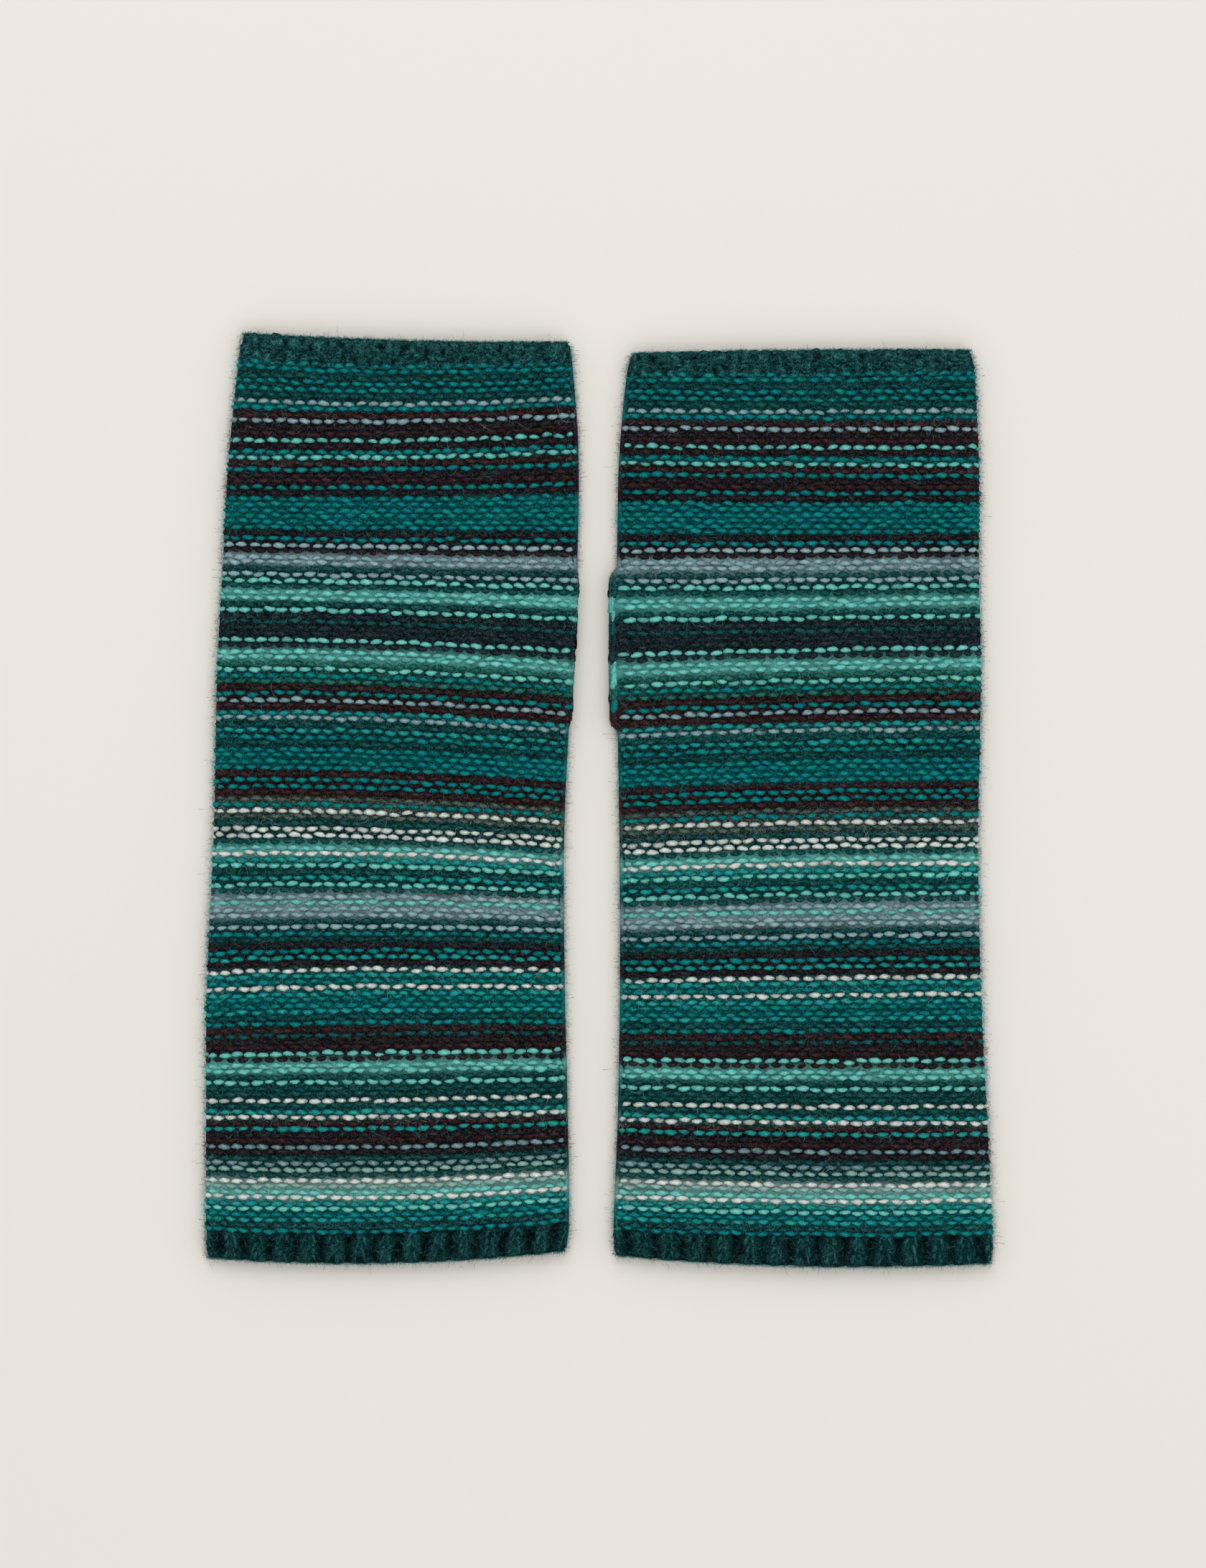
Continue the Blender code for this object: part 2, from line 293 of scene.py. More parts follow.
def woolMesh(name, points, faceSizes, corners, layers, uv):  # a mesh from arrays, in millimetres
    mesh = bpy.data.meshes.new(name)
    mesh.vertices.add(len(points))
    mesh.vertices.foreach_set("co", (points * mm).astype(np.float32).ravel())
    mesh.loops.add(len(corners))
    mesh.loops.foreach_set("vertex_index", corners.astype(np.int32))
    mesh.polygons.add(len(faceSizes))
    starts = np.concatenate([[0], np.cumsum(faceSizes)[:-1]])
    mesh.polygons.foreach_set("loop_start", starts.astype(np.int32))
    paintPoints(mesh, layers)
    mesh.uv_layers.new(name="yarn").data.foreach_set("uv", uv.astype(np.float32).ravel())
    mesh.update(calc_edges=True)
    mesh.validate()
    return placed(name, mesh)


def strands(name, paths, normals, radii, sides, tones, shade=0.0, lumpy=1.0):
    # many closed yarns or hairs with pointed ends, their undersides given painted shade by shade,
    # their thickness made uneven by lumpy
    number, long = paths.shape[:2]
    along = np.gradient(paths, axis=1)
    along /= np.maximum(np.linalg.norm(along, axis=-1, keepdims=True), 1e-9)
    beside = np.cross(along, normals)
    beside /= np.maximum(np.linalg.norm(beside, axis=-1, keepdims=True), 1e-9)
    upward = np.cross(beside, along)
    turn = np.arange(sides) * 2 * math.pi / sides
    ring = upward[:, 1:-1, None] * np.cos(turn)[:, None]
    ring = ring + beside[:, 1:-1, None] * np.sin(turn)[:, None]
    rings = paths[:, 1:-1, None] + ring * (radii[:, 1:-1, None, None] * lumpy)
    each = (long - 2) * sides + 2  # points of one strand: a tip, its rings, a tip
    points = np.concatenate([paths[:, :1], rings.reshape(number, -1, 3), paths[:, -1:]], axis=1)
    points[..., 2] = np.maximum(points[..., 2], cloth["lowest"])

    this = np.arange(sides)
    after = (this + 1) % sides
    step = np.arange(long - 3)[:, None] * sides + 1
    beyond = step + sides
    quads = np.stack([step + this, step + after, beyond + after, beyond + this], axis=-1)
    lastRing = 1 + (long - 3) * sides
    starts = np.stack([np.zeros(sides, int), after + 1, this + 1], axis=-1)
    ends = np.stack([np.full(sides, each - 1), lastRing + this, lastRing + after], axis=-1)
    one = np.concatenate([starts.ravel(), quads.ravel(), ends.ravel()])
    threes, fours = np.full(sides, 3), np.full((long - 3) * sides, 4)
    sizes = np.concatenate([threes, fours, threes])
    corners = (np.arange(number)[:, None] * each + one).ravel()

    travelled = np.linalg.norm(np.diff(paths, axis=1), axis=-1).cumsum(axis=1)
    travelled = np.concatenate([np.zeros((number, 1)), travelled], axis=1)
    back, front = travelled[:, 1:-2], travelled[:, 2:-1]
    between = np.stack([back, back, front, front], axis=-1)[:, :, None].repeat(sides, axis=2)
    tips = [np.repeat(tip, sides * 3, axis=1) for tip in (travelled[:, :1], travelled[:, -1:])]
    u = np.concatenate([tips[0], between.reshape(number, -1), tips[1]], axis=1)
    low, high = this / sides, (this + 1) / sides
    v = [np.stack([low, high, low], axis=-1).ravel()]
    v += [np.stack([low, high, high, low], axis=-1).ravel()] * (long - 3)
    v += [np.stack([low, low, high], axis=-1).ravel()]
    uv = np.stack([u, np.broadcast_to(np.concatenate(v), u.shape)], axis=-1).reshape(-1, 2)
    layers = {}
    # painted shade: each ring's colours darker towards the underside of the yarn
    lit = (1 - shade * (1 - np.cos(turn)) / 2)[:, None]
    for layer, values in tones.items():
        middle = (values[:, 1:-1, None] * lit).reshape(number, -1, 3)
        whole = np.concatenate([values[:, :1], middle, values[:, -1:]], axis=1)
        layers[layer] = whole.reshape(-1, 3)
    return woolMesh(name, points.reshape(-1, 3), np.tile(sizes, number), corners, layers, uv)


def finishPiece(piece, material, nodes=()):
    piece.data.materials.append(material)
    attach(piece, "root")
    if nodes:
        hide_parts(*nodes)
    return piece


# Wool material: the yarn's own colour with light and dark fibres in it, along the yarn

woolLook = {
    "fibreLong": 0.8,  # a millimetre along the yarn
    "fibreFine": 12.0,  # round it
    "twist": 16,  # degrees
    "light": 0.6,  # how much the light and the dark fibres show
    "dark": 0.6,
    "speck": 0.3,
    "speckOnFelt": 0.75,
    "patchesPerMetre": 800.0,
    "specksPerMetre": 2400.0,
    "lightFrom": (0.52, 0.68),  # values of a noise between which each of them comes in
    "patchFrom": (0.5, 0.66),
    "speckFrom": (0.52, 0.66),
    "flankShadeFrom": (0.44, 0.62),
    "darkTo": (0.32, 0.48),  # and between which these go out
    "hairTo": (0.006, 0.036),
    "hairs": ((2.0, 0.75), (1.1, 0.75), (0.7, 0.65)),  # size of a hair's curls in mm, strength
    "hairsOnYarn": 0.6,  # how much of them shows on the stitches
    "flankShade": 0.62,  # painted shade on a yarn's flanks, down between its neighbours, as a share of its dark fibre
    "frayed": 0.4,  # how far the fibres shift where a flank's painted shade begins
    "bump": 0.9,
    "bumpMm": 0.3,
    "roughness": 0.95,
    "gloss": 0.04,
}
fuzzLook = {"patchesPerMetre": 700.0, "patchFrom": (0.4, 0.7), "roughness": 0.85, "gloss": 0.08}


def node(tree, kind, **values):
    made = tree.nodes.new(kind)
    for key, value in values.items():
        if key in made.inputs:
            made.inputs[key].default_value = value
        else:
            setattr(made, key, value)
    return made


def noiseAt(tree, vector, scale, detail, roughness):
    noise = node(tree, "ShaderNodeTexNoise", Scale=scale, Detail=detail, Roughness=roughness)
    tree.links.new(vector, noise.inputs["Vector"])
    return noise.outputs["Fac"]


def ramp(tree, factor, low, high, start=0.0, end=1.0):  # start below low, end above high
    made = node(tree, "ShaderNodeMapRange")
    made.interpolation_type = "SMOOTHSTEP"
    made.inputs["From Min"].default_value = low
    made.inputs["From Max"].default_value = high
    made.inputs["To Min"].default_value = start
    made.inputs["To Max"].default_value = end
    tree.links.new(factor, made.inputs["Value"])
    return made.outputs["Result"]


def mixed(tree, factor, first, second, mode="MIX"):
    made = tree.nodes.new("ShaderNodeMix")
    made.data_type = "RGBA"
    made.blend_type = mode
    for key, value in ((0, factor), (6, first), (7, second)):
        if isinstance(value, (int, float, tuple)):
            made.inputs[key].default_value = value
        else:
            tree.links.new(value, made.inputs[key])
    return made.outputs[2]


def reckon(tree, operation, value, other=0.0):
    made = node(tree, "ShaderNodeMath", operation=operation)
    for socket, given in zip(made.inputs, (value, other)):
        if isinstance(given, float):
            socket.default_value = given
        else:
            tree.links.new(given, socket)
    return made.outputs[0]


def wanderingHairs(tree, place, long, strength):  # thin curls, where a noise passes its middle value
    wander = noiseAt(tree, place, 1 / (long * mm), 1.5, 0.5)
    away = reckon(tree, "ABSOLUTE", reckon(tree, "SUBTRACT", wander, 0.5))
    return ramp(tree, away, *woolLook["hairTo"], strength, 0.0)


def colourLayer(tree, name):
    made = node(tree, "ShaderNodeAttribute")
    made.attribute_name = name
    return made.outputs["Color"]


def dullMaterial(name, roughness, gloss):
    material = bpy.data.materials.new(name)
    material.use_nodes = True
    shader = material.node_tree.nodes["Principled BSDF"]
    shader.inputs["Roughness"].default_value = roughness
    shader.inputs["Specular IOR Level"].default_value = gloss
    return material, material.node_tree, shader


def yarnMaterial(name, rounded=False):  # rounded for yarns, whose flanks sink into the felt and get painted shade
    material, tree, shader = dullMaterial(name, woolLook["roughness"], woolLook["gloss"])
    uv = node(tree, "ShaderNodeUVMap")
    uv.uv_map = "yarn"
    stretch = node(tree, "ShaderNodeMapping")
    stretch.inputs["Scale"].default_value = (woolLook["fibreLong"], woolLook["fibreFine"], 1)
    stretch.inputs["Rotation"].default_value = (0, 0, math.radians(woolLook["twist"]))
    tree.links.new(uv.outputs["UV"], stretch.inputs["Vector"])
    fibres = noiseAt(tree, stretch.outputs["Vector"], 1.0, 3.0, 0.6)
    place = node(tree, "ShaderNodeTexCoord").outputs["Object"]
    patches = noiseAt(tree, place, woolLook["patchesPerMetre"], 2.0, 0.6)
    specks = noiseAt(tree, place, woolLook["specksPerMetre"], 2.0, 0.6)
    layers = ("wool", "lightFibre", "darkFibre")
    wool, lightFibre, darkFibre = (colourLayer(tree, layer) for layer in layers)
    light = ramp(tree, fibres, *woolLook["lightFrom"], 0.0, woolLook["light"])
    colour = mixed(tree, light, wool, lightFibre)
    dark = ramp(tree, fibres, *woolLook["darkTo"], woolLook["dark"], 0.0)
    colour = mixed(tree, dark, colour, darkFibre)
    speck = woolLook["speck" if rounded else "speckOnFelt"]
    for noise, where in ((patches, "patchFrom"), (specks, "speckFrom")):
        colour = mixed(tree, ramp(tree, noise, *woolLook[where], 0.0, speck), colour, darkFibre)
    raised = reckon(tree, "ADD", fibres, specks)
    share = woolLook["hairsOnYarn"] if rounded else 1
    for long, strength in woolLook["hairs"]:
        hair = wanderingHairs(tree, place, long, strength * share)
        colour = mixed(tree, hair, colour, lightFibre)
        raised = reckon(tree, "ADD", raised, hair)
    # painted shade: a yarn's colour goes to its darkened dark fibre on its flanks, away from its top
    if rounded:
        split = node(tree, "ShaderNodeSeparateXYZ")
        tree.links.new(uv.outputs["UV"], split.inputs[0])
        towardsTop = reckon(tree, "ABSOLUTE", reckon(tree, "SUBTRACT", split.outputs["Y"], 0.5))
        shift = reckon(tree, "MULTIPLY", fibres, woolLook["frayed"])
        frayed = reckon(tree, "ADD", towardsTop, shift)
        flankShade = mixed(tree, 1.0, darkFibre, (*[woolLook["flankShade"]] * 3, 1.0), "MULTIPLY")
        colour = mixed(tree, ramp(tree, frayed, *woolLook["flankShadeFrom"]), flankShade, colour)
    tree.links.new(colour, shader.inputs["Base Color"])
    bump = node(tree, "ShaderNodeBump", Strength=woolLook["bump"], Distance=woolLook["bumpMm"] * mm)
    tree.links.new(raised, bump.inputs["Height"])
    tree.links.new(bump.outputs["Normal"], shader.inputs["Normal"])
    return material


def fuzzMaterial(name):
    material, tree, shader = dullMaterial(name, fuzzLook["roughness"], fuzzLook["gloss"])
    place = node(tree, "ShaderNodeTexCoord").outputs["Object"]
    patches = noiseAt(tree, place, fuzzLook["patchesPerMetre"], 1.0, 0.5)
    light = ramp(tree, patches, *fuzzLook["patchFrom"])
    colour = mixed(tree, light, colourLayer(tree, "wool"), colourLayer(tree, "lightFibre"))
    tree.links.new(colour, shader.inputs["Base Color"])
    return material


stripedWool = yarnMaterial("stripedWool", rounded=True)
stripedFelt = yarnMaterial("stripedFelt")
greenWool = yarnMaterial("greenWool", rounded=True)
ribFelt = yarnMaterial("ribFelt")
bandFelt = yarnMaterial("bandFelt")
woolFuzz = fuzzMaterial("woolFuzz")
print("materials made")


# Backing: the body of the cloth that the stitches stand out of, a thin shell with a real wall

backing = {
    "below": 0.85,  # how far under the cloth's face it lies, with the stitches standing out of it
    "under": 0.1,  # and under the flat lower layer
    "wall": 1.3,
    "perCourse": 2,
    "perWale": 1,
    "shade": 0.2,  # painted shade on the yarns' colour, down between the stitches
    "paleShade": 0.75,  # and of the pale yarns'
    "fibreShade": 0.6,  # and of the light fibres that lie over it
    "mottled": 0.2,
    "openShade": 0.85,  # of the colours on the underside, where no stitches lie on it
    "blend": 0.15,  # courses up and down over which two yarns felt into each other
    "early": 0.2,  # courses before its own row where a pale yarn's felt and hairs begin
    "reach": 1.4,  # wales past the fold and the seam that stitches still cover
    "fade": (0.5, 1.5),  # wales before that where it starts to rise, and wales that it takes
    "atFold": 0.5,  # how much less deep it lies round the fold
    "atSeam": 0.4,  # and how much deeper along the seam
    "sideShadeCut": 0.6,  # how much less painted shade it has at both sides
    "sideShadeCutLong": 1.2,  # wales
    "joinGap": 0.04,  # courses short of the rib and the band
    "seamGap": 0.06,  # wales short of the seam
    "laid": (210, 248),  # millimetres across and along when laid out
}


def atSide(wale, side):  # 1 at a side of a mitten, 0 a little way in
    return ease(cloth["sideLevel"] - np.abs(wale - side) / cloth["sideFade"])


def drawnIn(wale):
    fold, seamSide = atSide(wale, 0), atSide(wale, cloth["walesAcross"])
    return cloth["drawnAtFold"] * fold + cloth["drawnAtSeam"] * seamSide


def backingDepth(wale):  # deep where stitches cover it, at the surface over the flat lower layer
    before, long = backing["fade"]
    far = np.maximum(-wale, wale - cloth["walesAcross"])
    deep = backing["below"] - backing["atFold"] * atSide(wale, 0)
    deep = deep + backing["atSeam"] * atSide(wale, cloth["walesAcross"])
    return deep + (backing["under"] - deep) * ease((far - backing["reach"] + before) / long)


def layGrid(name, acrossSteps, alongSteps, place, laid):  # laid out by a function of its two shares
    grid = bmesh.new()
    bmesh.ops.create_grid(grid, x_segments=acrossSteps, y_segments=alongSteps, size=1)
    mesh = bpy.data.meshes.new(name)
    grid.to_mesh(mesh)
    grid.free()
    flat = np.zeros(len(mesh.vertices) * 3, np.float32)
    mesh.vertices.foreach_get("co", flat)
    shares = (flat.reshape(-1, 3)[:, :2] + 1) / 2
    points = place(shares[:, 0], shares[:, 1]) * mm
    mesh.vertices.foreach_set("co", points.astype(np.float32).ravel())
    corners = np.zeros(len(mesh.loops), int)
    mesh.loops.foreach_get("vertex_index", corners)
    uv = shares[corners] * laid
    mesh.uv_layers.new(name="yarn").data.foreach_set("uv", uv.astype(np.float32).ravel())
    return mesh, shares


def toneLayers(yarn):
    return {layer: yarnTones[yarn, k] for k, layer in enumerate(("wool", "lightFibre", "darkFibre"))}


def isPale(yarn):
    return np.isin(yarn, paleNumbers)


def matTones(row, stitchShadeShare):  # colours of the felt, those of the darkest yarn that meets there, with painted shade where stitches cover it
    base, last = np.floor(row), np.floor(row + backing["early"])
    nearest = np.where(row - base < 0.5, base, base + 1)
    beside = np.stack([yarnOf(base), yarnOf(base - 1), yarnOf(nearest)])
    block = isPale(yarnOf(last)) & isPale(yarnOf(last - 1))  # two pale courses together
    beside = np.where(block, np.stack([yarnOf(last), yarnOf(last - 1), yarnOf(last)]), beside)
    darkness = yarnTones[:, 0].sum(axis=1)[beside]
    darkest = np.take_along_axis(beside, darkness.argmin(axis=0)[None], axis=0)[0]
    deep = np.where(isPale(darkest), backing["paleShade"], backing["shade"])[:, None]
    shade = {"wool": deep, "darkFibre": deep}
    shade["lightFibre"] = np.maximum(deep, backing["fibreShade"])
    tones, bare = toneLayers(darkest), backing["openShade"]
    return {key: tones[key] * (bare + (shade[key] - bare) * stitchShadeShare) for key in tones}


def panelBacking(mitten):
    name = mitten["side"] + "_hand_panel_cloth"
    foot, top = cloth["ribTop"] + backing["joinGap"], cloth["bandFoot"] - backing["joinGap"]
    edge = cloth["walesAcross"] - backing["seamGap"]

    def place(acrossShare, alongShare):
        course = foot + (top - foot) * alongShare
        wale = -edge + 2 * edge * acrossShare
        return clothPoint(mitten, course, wale, backingDepth(wale))

    acrossSteps = 2 * cloth["walesAcross"] * backing["perWale"]
    alongSteps = (cloth["courses"] + 1) * backing["perCourse"]
    mesh, shares = layGrid(name, acrossSteps, alongSteps, place, backing["laid"])
    course = foot + (top - foot) * shares[:, 1]
    row = course + (course - rowPlace(mitten, course))
    wale = (shares[:, 0] * 2 - 1) * edge
    aside = np.minimum(np.abs(wale), cloth["walesAcross"] - wale)
    stitchShadeShare = ease((wale + backing["reach"] + 1) / 2)  # share of painted shade from the stitches over it, 0 on the underside
    # less painted shade near both sides
    stitchShadeShare = stitchShadeShare * (1 - backing["sideShadeCut"] * ease(backing["sideShadeCutLong"] - aside))
    stitchShadeShare = stitchShadeShare[:, None]
    rng = dice(mitten, 100)
    mottled = 1 + backing["mottled"] * rng.normal(0, 1, (len(row), 1)).clip(-2, 2) * stitchShadeShare
    below, above = (matTones(row + step * backing["blend"], stitchShadeShare) for step in (-1, 1))
    paintPoints(mesh, {key: (below[key] + above[key]) / 2 * mottled for key in below})
    faceOutwards(mesh)
    piece = placed(name, mesh)
    wall = piece.modifiers.new("wall", "SOLIDIFY")
    wall.thickness = backing["wall"] * mm
    wall.offset = -1
    return finishPiece(piece, stripedFelt, [mitten["side"] + "_hand_panel"])


# Stitches: each loop of yarn shows twice on the purl side, as a foot that curves up at its ends and
# half a wale on and a course and a half up as a head that curves down, and dives under the next ones

arcSteps = (-1, -0.64, -0.22, 0.22, 0.64, 1)  # along a yarn arc, from tip to tip
stitch = {
    "radius": 0.76,
    "stand": 0.3,  # how far its round tops stand over the cloth's face
    "long": 1.02,  # wales
    "slim": 0.72,  # how much thinner it is at its ends
    "endShade": 0.75,  # how much painted shade darkens it there, where it dives under its neighbours
    "underShade": 0.3,  # and how much painted shade its underside has
    "lumpy": 0.09,
    "seamClear": 0.45,  # wales that it stays clear of the seam
    "chainClear": 0.25,  # and as many more beside the chain of the right slit
    "felted": 0.26,  # how much deeper the most felted yarns lie
    "feltedPast": 1.2,  # courses past a part's last one where all lie so
    "curl": 0.1,  # courses that its ends curve away
    "dive": 1.0,  # how far its ends go down
    "lift": 1.47,  # courses from the foot of a loop to its head
    "steps": arcSteps,
    "sides": 5,
    "wrap": 1.5,  # wales that run on round an edge to the underside
    "uneven": {"wale": 0.045, "course": 0.05, "tilt": 0.05, "depth": 0.13, "size": 0.1, "tone": 0.26},
}
arcForm = {"stretch": 0.6, "diveLate": 2.3}  # a thick one is longer too; how late the ends dive
arcTone = {
    "lighter": 0.55,  # how far a light stitch goes to its light fibre
    "darkest": 0.45,
    "softEnds": 0.7,  # how much of the ends' painted shade goes where pale courses lie together
    "softDark": 0.75,  # and how near the dark fibre, which also gives the painted shade of the flanks, comes to the wool
    "drift": 0.07,  # how much a pure teal varies, and the red, green and blue share of that
    "driftTo": (0, -1, 0.6),
    "pureFrom": 0.2,  # how soon a greyer yarn varies less
}


def unevenArcs(rng, look, many):  # the places along each arc, its random unevenness, its thickness
    spread = {key: rng.normal(0, amount, (many, 1)) for key, amount in look["uneven"].items()}
    share = np.array(look["steps"], float)[None, :]
    radius = look["radius"] * (1 + spread.get("size", 0)) * (1 - look["slim"] * share**2)
    return share, spread, radius


def loopArcs(mitten, course, wale, up, rng, look, deeper=0.0):
    # paths of short yarn arcs round their middles; up is 1 at a loop's foot and -1 at its head
    share, spread, radius = unevenArcs(rng, look, len(course))
    half = look["long"] / 2 * (1 + arcForm["stretch"] * spread["size"])
    waleAt = wale[:, None] + spread["wale"] + half * share
    courseAt = course[:, None] + spread["course"] + spread["tilt"] * share
    courseAt = courseAt + look["curl"] * up * share**2
    dive = look["dive"] * np.abs(share) ** arcForm["diveLate"]
    depth = look["radius"] - look["stand"] + deeper + spread["depth"] + dive
    paths = clothPoint(mitten, courseAt, waleAt, depth + drawnIn(wale)[:, None])
    return paths, clothNormal(mitten, courseAt, waleAt), radius, spread["tone"]


def arcTones(yarn, tone, look, soft):  # soft is 1 where pale courses lie together and felt into one, with less painted shade
    tone = tone - look.get("dim", 0)
    soft = np.zeros(len(yarn)) if soft is None else soft
    lighter = np.clip(tone, 0, 1)[..., None] * arcTone["lighter"]
    dimmer = np.clip(1 + tone, arcTone["darkest"], 1)[..., None]
    base, light, dark = (yarnTones[yarn, k][:, None] for k in range(3))
    # painted shade: each arc darker towards its ends, where it dives between its neighbours
    shade = look["endShade"] * (1 - arcTone["softEnds"] * soft[:, None])
    ends = 1 - shade * np.array(look["steps"]) ** 2
    ends, soft = ends[..., None], soft[:, None, None]
    dark = dark + (arcTone["softDark"] * base - dark) * soft
    wool = (base + (light - base) * lighter) * dimmer
    grey = base.min(axis=-1, keepdims=True) / base.max(axis=-1, keepdims=True)
    pure = 1 - grey ** arcTone["pureFrom"]  # 1 for a pure teal
    drift = np.random.default_rng(len(yarn)).normal(0, arcTone["drift"], (len(yarn), 1, 1)) * pure
    wool = wool * (1 + drift * np.array(arcTone["driftTo"]))
    return {"wool": wool * ends, "lightFibre": light * ends, "darkFibre": dark * ends}


def arcPiece(name, arcs, yarn, look, soft=None):
    paths, normals, radius, tone = (np.concatenate(parts) for parts in zip(*arcs))
    tones = arcTones(yarn, tone, look, soft)
    rough = np.random.default_rng(len(paths))
    shape = (len(paths), radius.shape[1] - 2, look["sides"], 1)
    lumpy = 1 + rough.normal(0, look["lumpy"], shape)
    return strands(name, paths, normals, radius, look["sides"], tones, look["underShade"], lumpy)


def bottlePiece(name, arcs, look):  # arcs that are all of the bottle green wool
    yarn = np.full(sum(len(arc[0]) for arc in arcs), bottleNumber)
    return finishPiece(arcPiece(name, arcs, yarn, look), greenWool)


def panelStitches(mitten, part, first, last):
    rng = dice(mitten, first)
    across, wrap = cloth["walesAcross"], stitch["wrap"]
    feet = np.arange(-wrap, across + wrap + 0.5) + 0.5 - wrap % 1
    arcs, yarn, soft = [], [], []
    for up, shift, level in ((1, 0.0, 0.0), (-1, 0.5, stitch["lift"])):
        isFirst, isLast = first == 1, last == cloth["courses"]
        low = 0 if up < 0 and isFirst else first  # with the heads of the rib's last course
        high = last + 1 if up > 0 and isLast else last  # and the feet of the join to the band
        grids = np.meshgrid(feet + shift, np.arange(low, high + 1.0))
        wale, course = (grid.ravel() for grid in grids)
        chained = slitShare(course + level) * (mitten["side"] == "right")
        kept = np.abs(wale - across) > stitch["seamClear"] + stitch["chainClear"] * chained
        wale, course = wale[kept], course[kept]
        wool = yarnOf(course)
        felted = np.isin(wool, feltedNumbers) | (course + level > last + stitch["feltedPast"])
        deeper = stitch["felted"] * felted[:, None]
        row = rowPlace(mitten, course + level)
        arcs.append(loopArcs(mitten, row, wale, up, rng, stitch, deeper))
        yarn.append(wool)
        pale, paleBelow, paleAbove = (isPale(yarnOf(course + step)) for step in (0, -1, 1))
        soft.append((pale & (paleBelow | paleAbove)).astype(float))
    name = f"{mitten['side']}_{part}_side_stitches"
    piece = arcPiece(name, arcs, np.concatenate(yarn), stitch, np.concatenate(soft))
    return finishPiece(piece, stripedWool)


# Edge of the thumb slit: a chain of upright edge stitches along each lip, one for every course

slitEdge = {
    "radius": 1.05,
    "inset": 0.32,
    "long": 1.6,  # courses
    "slant": 0.08,  # wales
    "stand": 0.1,
    "sunk": {"left": 1.45, "right": 0.6},  # deeper on the left mitten, whose lips stand out less
    "dive": 0.5,
    "raised": 0.35,  # courses
    "slim": 0.3,
    "endShade": 0.2,
    "underShade": 0.4,
    "lumpy": 0.12,
    "steps": (-1, -0.72, -0.38, 0, 0.38, 0.72, 1),
    "sides": 6,
    "uneven": {"wale": 0.05, "course": 0.06, "depth": 0.1, "size": 0.1, "tone": 0.15},
}


def slitChain(mitten):
    rng = dice(mitten, 300)
    courses = np.arange(math.ceil(cloth["slitFoot"]), math.floor(cloth["slitTop"]))
    arcs = []
    for side in (-1, 1):  # the upper and the lower lip
        share, spread, radius = unevenArcs(rng, slitEdge, len(courses))
        inset = slitEdge["inset"] + slitEdge["slant"] * share + spread["wale"]
        wale = cloth["walesAcross"] + side * inset
        course = rowPlace(mitten, courses + slitEdge["raised"])[:, None] + spread["course"]
        course = course + slitEdge["long"] / 2 * share
        depth = slitEdge["radius"] - slitEdge["stand"] + spread["depth"]
        depth = depth + slitEdge["dive"] * share**2 + slitEdge["sunk"][mitten["side"]]
        paths = clothPoint(mitten, course, wale, depth)
        arcs.append((paths, clothNormal(mitten, course, wale), radius, spread["tone"]))
    yarn = yarnOf(np.tile(courses, 2))
    piece = arcPiece(mitten["side"] + "_slit_edge_chain", arcs, yarn, slitEdge)
    return finishPiece(piece, stripedWool)


# Seam stitches: slanting stitches of dark wool that draw the panel's edges together

seam = {
    "radius": 0.42,
    "reach": 0.42,  # wales
    "deep": 1.2,
    "dive": 0.35,
    "slant": 0.3,  # courses
    "slim": 0.3,
    "first": 0.8,  # course
    "clear": 0.5,  # courses short of the band
    "endShade": 0.3,
    "underShade": 0.4,
    "lumpy": 0.1,
    "steps": (-1, -0.5, 0, 0.5, 1),
    "sides": 5,
    "uneven": {"course": 0.06, "tone": 0.15},
}


def seamStitches(mitten):
    rng = dice(mitten, 400)
    courses = np.arange(seam["first"], cloth["bandFoot"] - seam["clear"], 1.0)
    courses = courses[slitShare(courses) < 0.01]
    share, spread, radius = unevenArcs(rng, seam, len(courses))
    course = courses[:, None] + seam["slant"] * share + spread["course"]
    wale = cloth["walesAcross"] + seam["reach"] * share + 0 * course
    paths = clothPoint(mitten, course, wale, seam["deep"] + seam["dive"] * share**2)
    arcs = [(paths, clothNormal(mitten, course, wale), radius + 0 * course, spread["tone"])]
    return bottlePiece(mitten["side"] + "_thumb_seam_stitches", arcs, seam)


# Wrist rib and finger band: a wall with a round free edge, closed round the mitten

endWall = {
    "gap": 0.02,  # courses from the panel
    "under": 0.12,
    "perWale": 6,
    "longSteps": 8,
    "rimSteps": 7,
    "thin": 0.35,  # how much thinner each side is at the edge
    "thinLong": 1.8,
    "inner": 0.15,  # how far the inside stays from the other layer's
    "underReach": 1.5,  # wales past the fold and the seam that the relief runs on
    "join": 0.02,  # points nearer than this are one, in millimetres
    "laid": (210, 20),
}
lumpSizes = (0.7, 0.9, 1.2, 1.7, 2.6)  # wales
lumpScale = 6


def lumps(rng, wale, course):  # soft unevenness of felted wool, about -1 to 1
    total = 0.0
    for size in lumpSizes:
        for _ in range(3):
            heading, phase = rng.uniform(0, 2 * math.pi, 2)
            far = wale * math.cos(heading) + course * math.sin(heading)
            total = total + np.sin(far * 2 * math.pi / size + phase)
    return total / lumpScale


